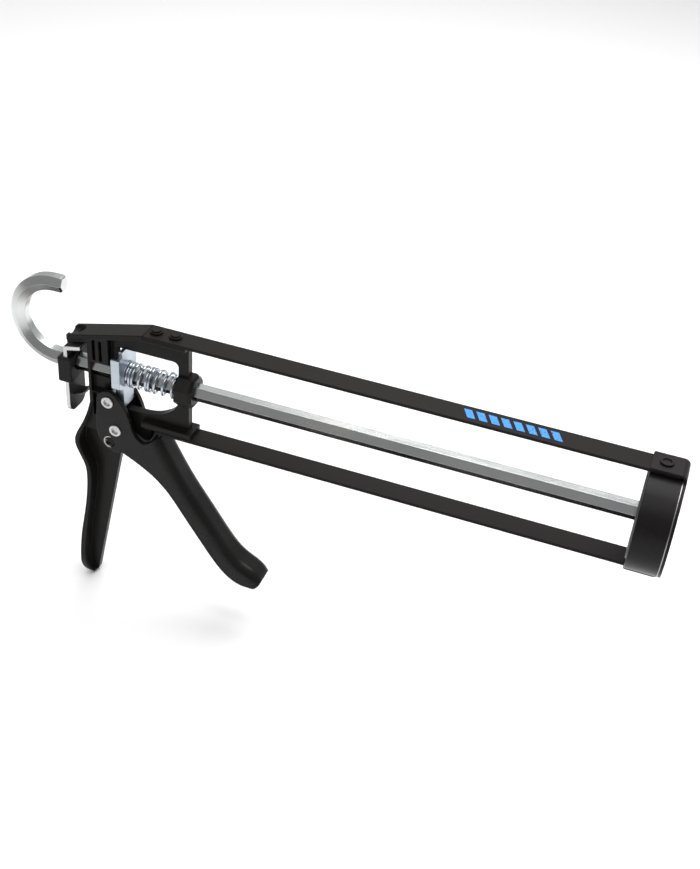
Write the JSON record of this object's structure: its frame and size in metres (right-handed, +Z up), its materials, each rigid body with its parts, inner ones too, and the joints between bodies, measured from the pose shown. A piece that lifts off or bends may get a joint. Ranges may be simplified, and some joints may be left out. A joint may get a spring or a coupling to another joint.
{
  "type": "caulking gun",
  "caption": "Skeleton caulking gun: hex push rod with hanging hook, strap cradle with a front cup, cast body with fixed handle, and a trigger that drives the rod through a sprung grip plate.",
  "frame": {"origin": "on the push rod's axis where it leaves the front face of the cast body's eight-sided boss, which is where a cartridge's base ends", "axes": "+X along the push rod towards the muzzle, +Z up away from the handle, Y across"},
  "size_m": [0.3432, 0.0542, 0.1896],
  "materials": {
    "black_powder_coat": "satin",
    "black_paint_steel": "satin",
    "zinc_plate": "satin",
    "spring_steel": "satin",
    "bright_spring": "polished",
    "rivet_steel": "satin",
    "plated_rod": "polished",
    "dark_sheet": "satin",
    "pad_plastic": "matte"
  },
  "bodies": {
    "frame": {"body_casting": "black_powder_coat", "strap_top": "black_paint_steel", "strap_bottom": "black_paint_steel", "strap_rivets_top": "black_paint_steel", "strap_rivets_bottom": "black_paint_steel", "cup": "black_paint_steel", "front_plate": "black_paint_steel", "front_rivet_top": "black_paint_steel", "front_rivet_bottom": "black_paint_steel", "pivot_bush": "zinc_plate", "catch_leaf": "spring_steel", "drive_spring": "bright_spring"},
    "trigger": {"trigger": "black_powder_coat", "pivot_rivet": "rivet_steel", "drive_rivet": "rivet_steel", "drive_roller": "zinc_plate"},
    "drive": {"drive_plate": "zinc_plate", "spring_seat": "zinc_plate"},
    "rod": {"push_rod": "plated_rod", "plunger_dish": "plated_rod", "plunger_nut": "plated_rod"},
    "catch": {"catch_plate": "dark_sheet", "release_pad": "pad_plastic"}
  },
  "joints": [
    {"name": "trigger_pivot", "type": "hinge", "parent": "frame", "child": "trigger", "pos_m": [-0.0424, 0, -0.0315], "axis": [0, 1, 0], "range_deg": [0, 35], "stiffness_Nm_per_rad": 0.4, "springref_deg": -28.65},
    {"name": "drive_slide", "type": "slide", "parent": "frame", "child": "drive", "axis": [1, 0, 0], "range_m": [0, 0.0103], "deforming": ["drive_spring"]},
    {"name": "rod_slide", "type": "slide", "parent": "frame", "child": "rod", "axis": [1, 0, 0], "range_m": [-0.217, 0]},
    {"name": "catch_tilt", "type": "hinge", "parent": "frame", "child": "catch", "pos_m": [-0.0696, 0, 0.0113], "axis": [0, -1, 0], "range_deg": [0, 5], "stiffness_Nm_per_rad": 0.5, "springref_deg": -5.73, "deforming": ["catch_leaf"]}
  ],
  "couplings": [
    {"joint": "drive_slide", "follows": "trigger_pivot", "m_per_rad": 0.0167}
  ]
}
